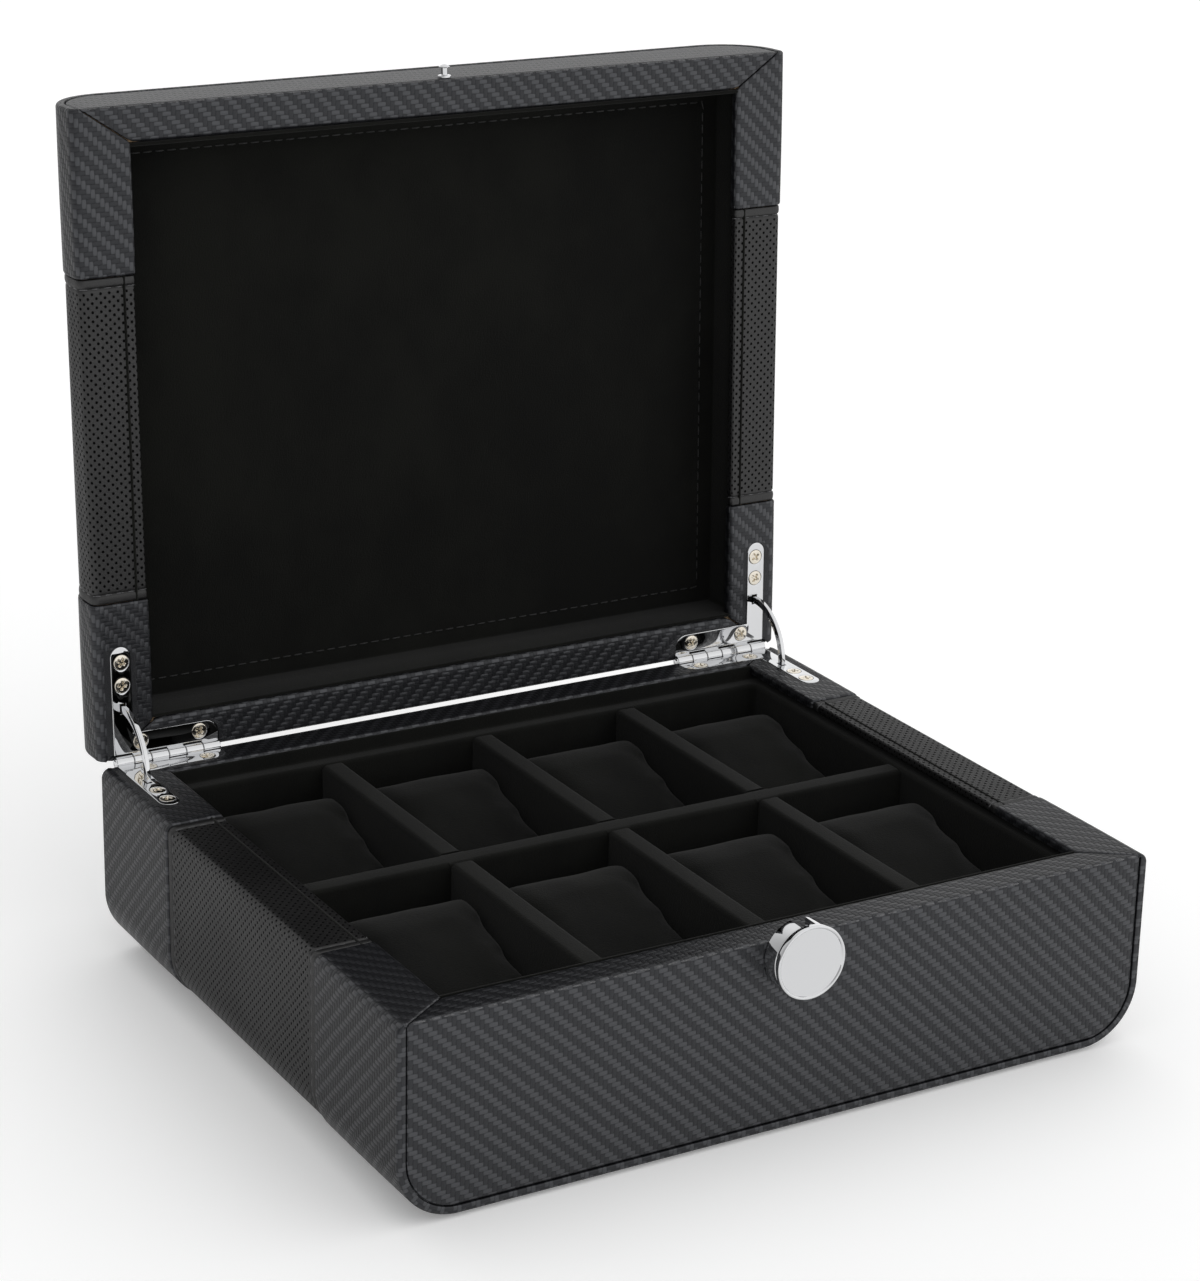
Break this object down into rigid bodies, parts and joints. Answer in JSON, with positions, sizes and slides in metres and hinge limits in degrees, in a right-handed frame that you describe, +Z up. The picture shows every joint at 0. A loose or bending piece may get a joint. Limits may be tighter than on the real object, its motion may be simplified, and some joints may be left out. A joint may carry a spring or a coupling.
{
  "type": "watch box",
  "caption": "Leather-covered watch box with padded compartments, lift-out cushions, a stay-hinged lid and a round push-button latch.",
  "frame": {"origin": "middle of the underside, on the felt that the box stands on", "axes": "+Z up, +Y towards the hinges at the back, +X to the right seen from the latch"},
  "size_m": [0.29, 0.2863, 0.3133],
  "materials": {
    "carbon_leather": "embossed twill, semi-gloss, dark blue-grey",
    "perforated_leather": "smooth perforated leather, satin",
    "suede": "black suede lining, matt",
    "cushion_suede": "black suede over soft filling, matt",
    "board": "raw fibreboard",
    "felt": "black felt",
    "chrome": "bright plated",
    "screw_steel": "warm nickel plated",
    "spring_steel": "drawn wire"
  },
  "bodies": {
    "base": {"base_felt": "felt", "base_bottom_board": "board", "base_side_board_left": "board", "base_side_board_right": "board", "base_front_board": "board", "base_back_board": "board", "base_wrap_front": "carbon_leather", "base_wrap_middle": "perforated_leather", "base_wrap_rear": "carbon_leather", "base_front_panel": "carbon_leather", "base_back_panel": "carbon_leather", "base_lining": "suede", "divider_long_1": "suede", "divider_long_2": "suede", "divider_long_3": "suede", "divider_cross": "suede", "latch_case": "chrome", "latch_clip": "spring_steel", "latch_spring": "spring_steel", "hinge_leaf_base_left": "chrome", "hinge_leaf_base_right": "chrome", "hinge_pin_left": "chrome", "hinge_pin_right": "chrome", "screw_base_left_side_front": "screw_steel", "screw_base_left_side_rear": "screw_steel", "screw_base_left_back_inner": "screw_steel", "screw_base_left_back_outer": "screw_steel", "screw_base_right_side_front": "screw_steel", "screw_base_right_side_rear": "screw_steel", "screw_base_right_back_inner": "screw_steel", "screw_base_right_back_outer": "screw_steel"},
    "lid": {"lid_carcass": "board", "lid_wrap_front": "carbon_leather", "lid_wrap_middle": "perforated_leather", "lid_wrap_rear": "carbon_leather", "lid_front_panel": "carbon_leather", "lid_back_panel": "carbon_leather", "lid_lining": "suede", "lid_stud": "chrome", "hinge_leaf_lid_left": "chrome", "hinge_leaf_lid_right": "chrome", "screw_lid_left_side_front": "screw_steel", "screw_lid_left_side_rear": "screw_steel", "screw_lid_left_back_inner": "screw_steel", "screw_lid_left_back_outer": "screw_steel", "screw_lid_right_side_front": "screw_steel", "screw_lid_right_side_rear": "screw_steel", "screw_lid_right_back_inner": "screw_steel", "screw_lid_right_back_outer": "screw_steel"},
    "stay_left": {"stay_arm_left": "chrome"},
    "stay_right": {"stay_arm_right": "chrome"},
    "button": {"latch_button": "chrome"},
    "cushion_front_1": {"cushion_front_1": "cushion_suede"},
    "cushion_front_2": {"cushion_front_2": "cushion_suede"},
    "cushion_front_3": {"cushion_front_3": "cushion_suede"},
    "cushion_front_4": {"cushion_front_4": "cushion_suede"},
    "cushion_back_1": {"cushion_back_1": "cushion_suede"},
    "cushion_back_2": {"cushion_back_2": "cushion_suede"},
    "cushion_back_3": {"cushion_back_3": "cushion_suede"},
    "cushion_back_4": {"cushion_back_4": "cushion_suede"}
  },
  "joints": [
    {"name": "lid_hinge", "type": "hinge", "parent": "base", "child": "lid", "pos_m": [0, 0.1188, 0.0718], "axis": [-1, 0, 0], "range_deg": [-92, 0]},
    {"name": "stay_left_slide", "type": "hinge", "parent": "base", "child": "stay_left", "pos_m": [0, 0.1188, 0.0718], "axis": [-1, 0, 0], "range_deg": [-46, 0]},
    {"name": "stay_right_slide", "type": "hinge", "parent": "base", "child": "stay_right", "pos_m": [0, 0.1188, 0.0718], "axis": [-1, 0, 0], "range_deg": [-46, 0]},
    {"name": "latch_press", "type": "slide", "parent": "base", "child": "button", "axis": [0, 1, 0], "range_m": [0, 0.001], "stiffness_N_per_m": 800, "springref_m": -0.003, "deforming": ["latch_spring"]},
    {"name": "cushion_front_1_lift", "type": "slide", "parent": "base", "child": "cushion_front_1", "axis": [0, 0, 1], "range_m": [0, 0.075]},
    {"name": "cushion_front_2_lift", "type": "slide", "parent": "base", "child": "cushion_front_2", "axis": [0, 0, 1], "range_m": [0, 0.075]},
    {"name": "cushion_front_3_lift", "type": "slide", "parent": "base", "child": "cushion_front_3", "axis": [0, 0, 1], "range_m": [0, 0.075]},
    {"name": "cushion_front_4_lift", "type": "slide", "parent": "base", "child": "cushion_front_4", "axis": [0, 0, 1], "range_m": [0, 0.075]},
    {"name": "cushion_back_1_lift", "type": "slide", "parent": "base", "child": "cushion_back_1", "axis": [0, 0, 1], "range_m": [0, 0.075]},
    {"name": "cushion_back_2_lift", "type": "slide", "parent": "base", "child": "cushion_back_2", "axis": [0, 0, 1], "range_m": [0, 0.075]},
    {"name": "cushion_back_3_lift", "type": "slide", "parent": "base", "child": "cushion_back_3", "axis": [0, 0, 1], "range_m": [0, 0.075]},
    {"name": "cushion_back_4_lift", "type": "slide", "parent": "base", "child": "cushion_back_4", "axis": [0, 0, 1], "range_m": [0, 0.075]}
  ],
  "couplings": [
    {"joint": "stay_left_slide", "follows": "lid_hinge", "ratio": 0.5},
    {"joint": "stay_right_slide", "follows": "lid_hinge", "ratio": 0.5}
  ]
}
